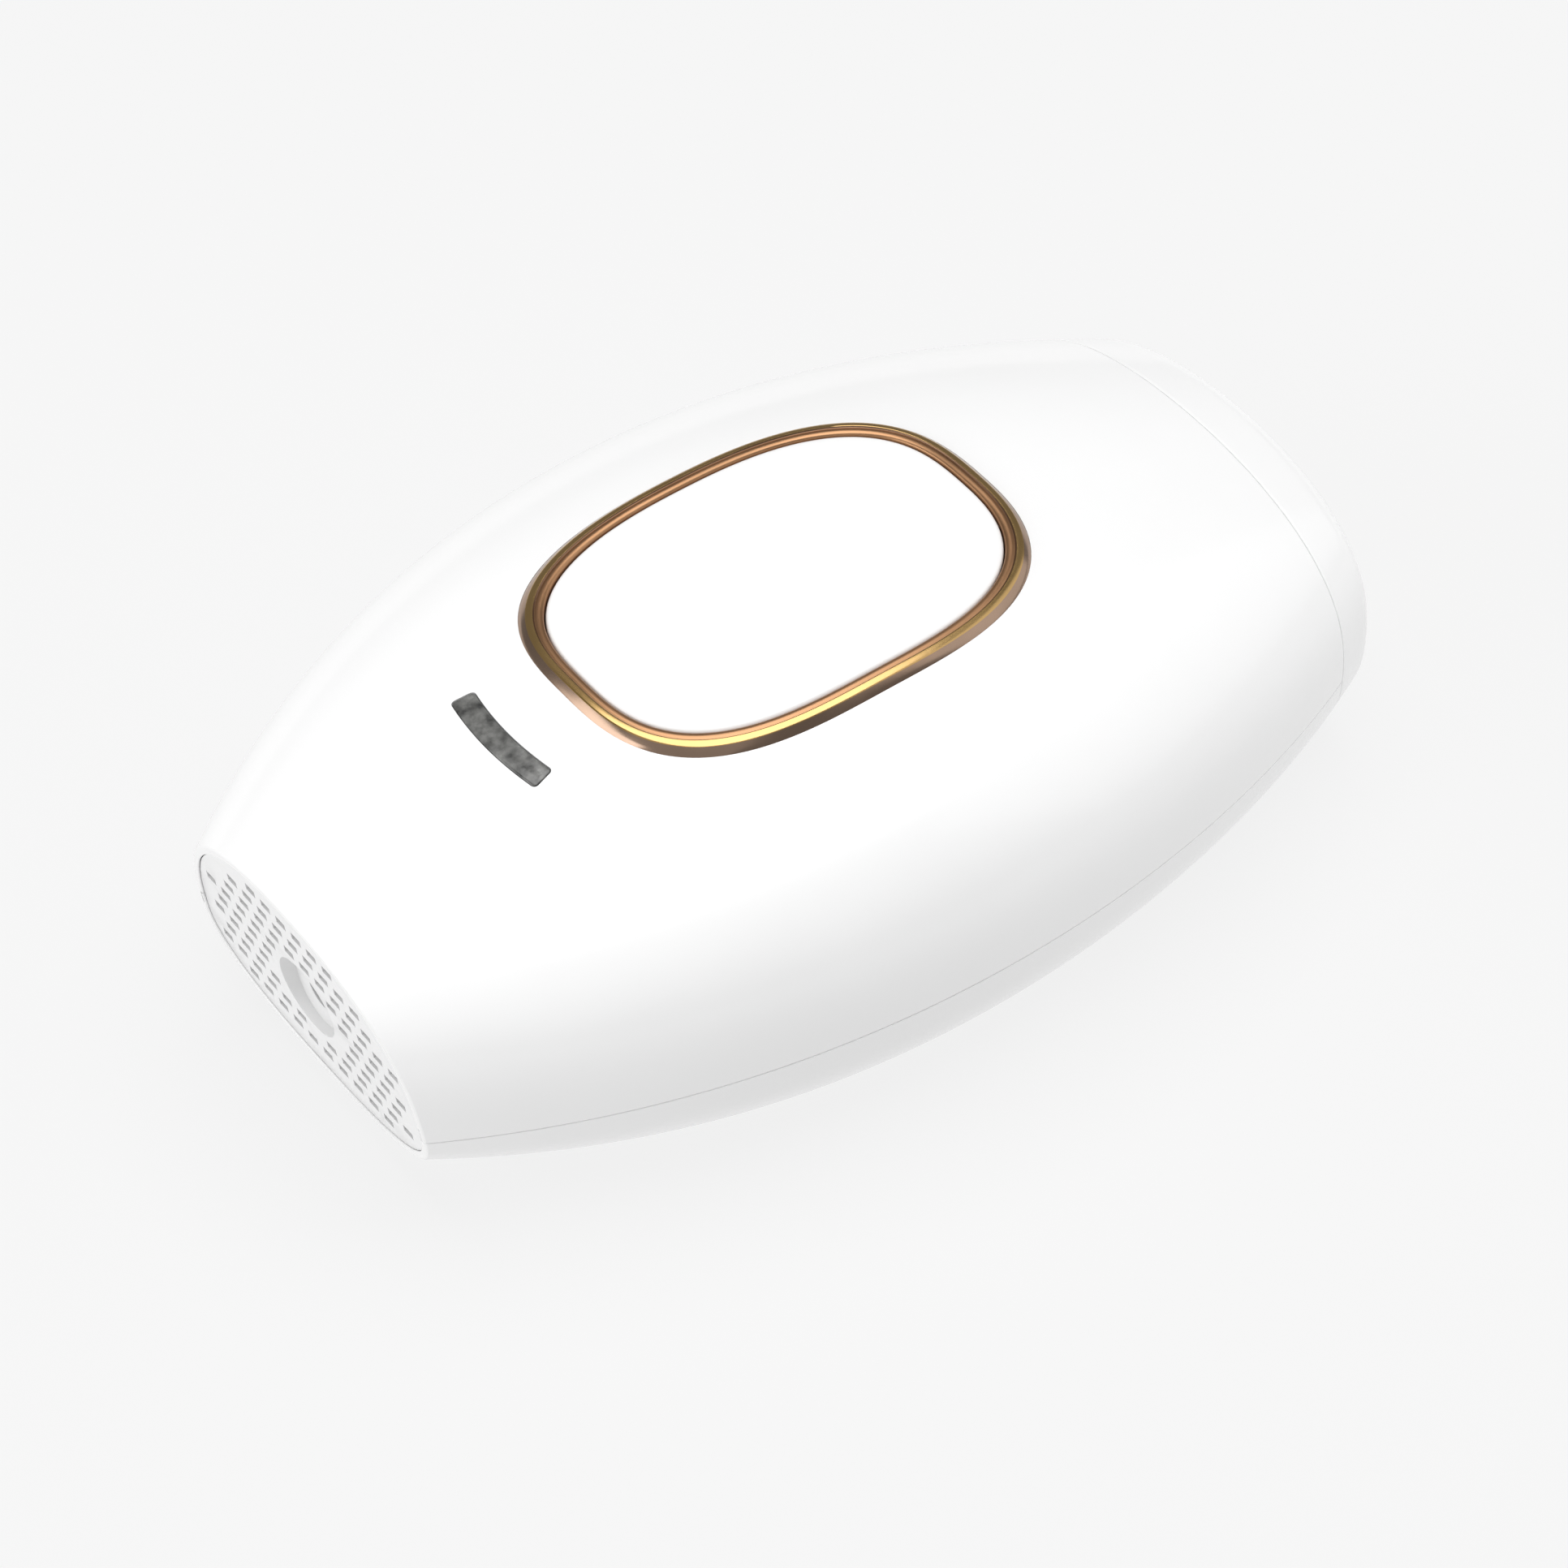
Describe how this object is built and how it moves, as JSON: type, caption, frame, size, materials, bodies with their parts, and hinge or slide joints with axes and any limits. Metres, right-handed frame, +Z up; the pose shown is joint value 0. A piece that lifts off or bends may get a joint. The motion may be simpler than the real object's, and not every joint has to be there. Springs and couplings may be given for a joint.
{
  "type": "ipl hair remover",
  "caption": "Handheld pulsed-light hair remover: glossy egg-shaped body, oval push button in a metal ring, light window at the head, vented tail with a round power inlet.",
  "frame": {"origin": "middle of the outline on the resting plane, under the body", "axes": "+X towards the light window, +Z up through the shot button, +Y across the body"},
  "size_m": [0.143, 0.0926, 0.0506],
  "materials": {
    "casing": "high-gloss white moulded plastic",
    "trim": "polished rose-gold anodised",
    "smoked_lens": "smoked, translucent, glossy",
    "light_guide": "milky clear",
    "board": "green solder mask",
    "led": "clear",
    "steel": "zinc plated",
    "bright_frame": "satin",
    "grey_plastic": "fine matt",
    "black_plastic": "fine matt",
    "brown_plastic": "fine matt",
    "copper": "enamelled copper wire",
    "ferrite": "matt dark grey",
    "capacitor_sleeve": "shrunk sleeve",
    "bare_aluminium": "plain",
    "mirror_aluminium": "bright rolled",
    "coil_tape": "yellow tape",
    "tube_glass": "clear",
    "filter": "amber filter glass",
    "red_lead": "silicone sleeve",
    "black_lead": "silicone sleeve",
    "ribbon": "plain"
  },
  "bodies": {
    "handset": {"top_shell": "casing", "bottom_shell": "casing", "head_bezel": "casing", "trim_ring": "trim", "button_springs": "steel", "button_tray": "grey_plastic", "tray_screws": "steel", "control_board": "board", "switch_body": "black_plastic", "indicator_lens": "smoked_lens", "light_guide": "light_guide", "indicator_board": "board", "indicator_leds": "led", "rear_grille": "casing", "jack_housing": "black_plastic", "jack_pin": "steel", "fan_frame": "black_plastic", "fan_stator": "copper", "main_capacitor": "capacitor_sleeve", "power_board": "board", "board_screws": "steel", "transformer_core": "ferrite", "transformer_winding": "copper", "power_switch": "black_plastic", "heat_sink": "bare_aluminium", "trigger_coil": "coil_tape", "filter_capacitors": "capacitor_sleeve", "lead_connectors": "grey_plastic", "lamp_holder": "grey_plastic", "reflector": "mirror_aluminium", "flash_tube": "tube_glass", "lamp_electrodes": "steel", "filter_glass": "filter", "window_frame": "bright_frame", "lamp_leads": "red_lead", "jack_leads": "red_lead", "fan_leads": "black_lead", "board_ribbon": "ribbon", "case_screws": "steel"},
    "button": {"shot_button": "casing"},
    "plunger": {"switch_plunger": "brown_plastic"},
    "rotor": {"fan_rotor": "black_plastic", "fan_shaft": "steel"}
  },
  "joints": [
    {"name": "button_press", "type": "slide", "parent": "handset", "child": "button", "axis": [0, 0, -1], "range_m": [0, 0.0006], "stiffness_N_per_m": 1500, "springref_m": -0.0007, "deforming": ["button_springs"]},
    {"name": "plunger_press", "type": "slide", "parent": "handset", "child": "plunger", "axis": [0, 0, -1], "range_m": [0, 0.0006]},
    {"name": "fan_spin", "type": "hinge", "parent": "handset", "child": "rotor", "pos_m": [-0.042, 0, 0.0209], "axis": [1, 0, 0], "continuous": true}
  ],
  "couplings": [
    {"joint": "plunger_press", "follows": "button_press", "ratio": 1}
  ]
}
